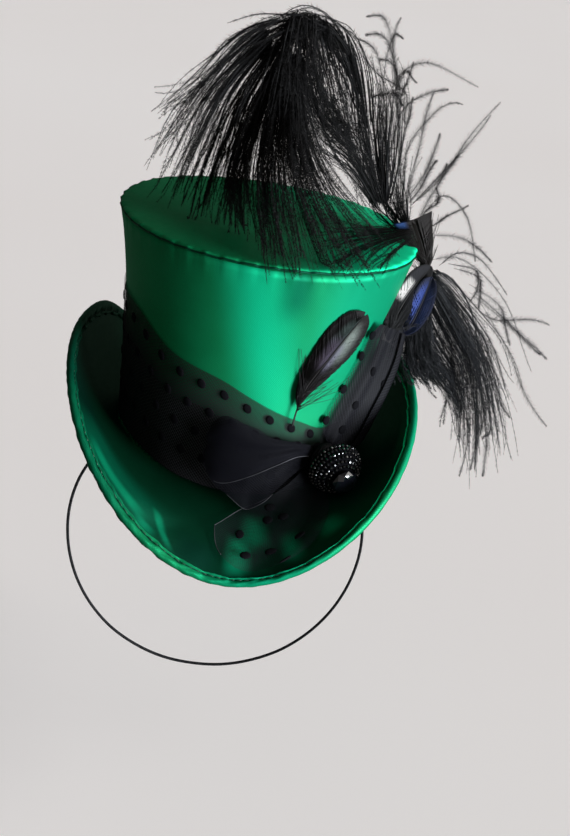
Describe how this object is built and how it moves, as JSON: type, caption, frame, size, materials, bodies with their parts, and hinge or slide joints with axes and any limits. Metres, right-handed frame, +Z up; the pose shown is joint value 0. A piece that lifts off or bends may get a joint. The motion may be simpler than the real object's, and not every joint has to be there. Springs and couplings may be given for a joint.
{
  "type": "mini top hat",
  "caption": "Waisted satin mini top hat with a rolled wired brim, dotted net band and bow, beaded jewel, feathers, ostrich plumes and an elastic that holds it on.",
  "frame": {"origin": "centre of the head opening, at the mean level of the seam between crown and brim", "axes": "+Z up along the crown's axis, -Y towards the front of the hat, +X towards the wearer's left, where the plumes are"},
  "size_m": [0.2317, 0.2073, 0.3398],
  "materials": {
    "green_satin": "satin weave over a stiff form",
    "black_net": "gathered net, nearly opaque",
    "dotted_net": "sheer net with flocked dots",
    "black_beads": "glossy seed beads",
    "black_stone": "faceted, polished",
    "dark_feather": "glossy feather vane",
    "blue_feather": "glossy feather vane with a blue sheen",
    "black_ostrich": "fine ostrich flues",
    "black_elastic": "covered round elastic"
  },
  "bodies": {
    "root": {"crown_side": "green_satin", "crown_tip": "green_satin", "brim": "green_satin", "brim_binding": "green_satin", "band_folds": "black_net", "band_net": "dotted_net", "band_strip": "dotted_net", "bow_knot": "black_net", "bow_loop": "black_net", "bow_tail": "dotted_net", "jewel_dome": "black_beads", "jewel_stone": "black_stone", "feather_front": "dark_feather", "feather_blue": "blue_feather", "feather_pied": "dark_feather", "feather_dark": "dark_feather", "plume_top": "black_ostrich", "plume_side": "black_ostrich", "elastic": "black_elastic"}
  },
  "joints": []
}
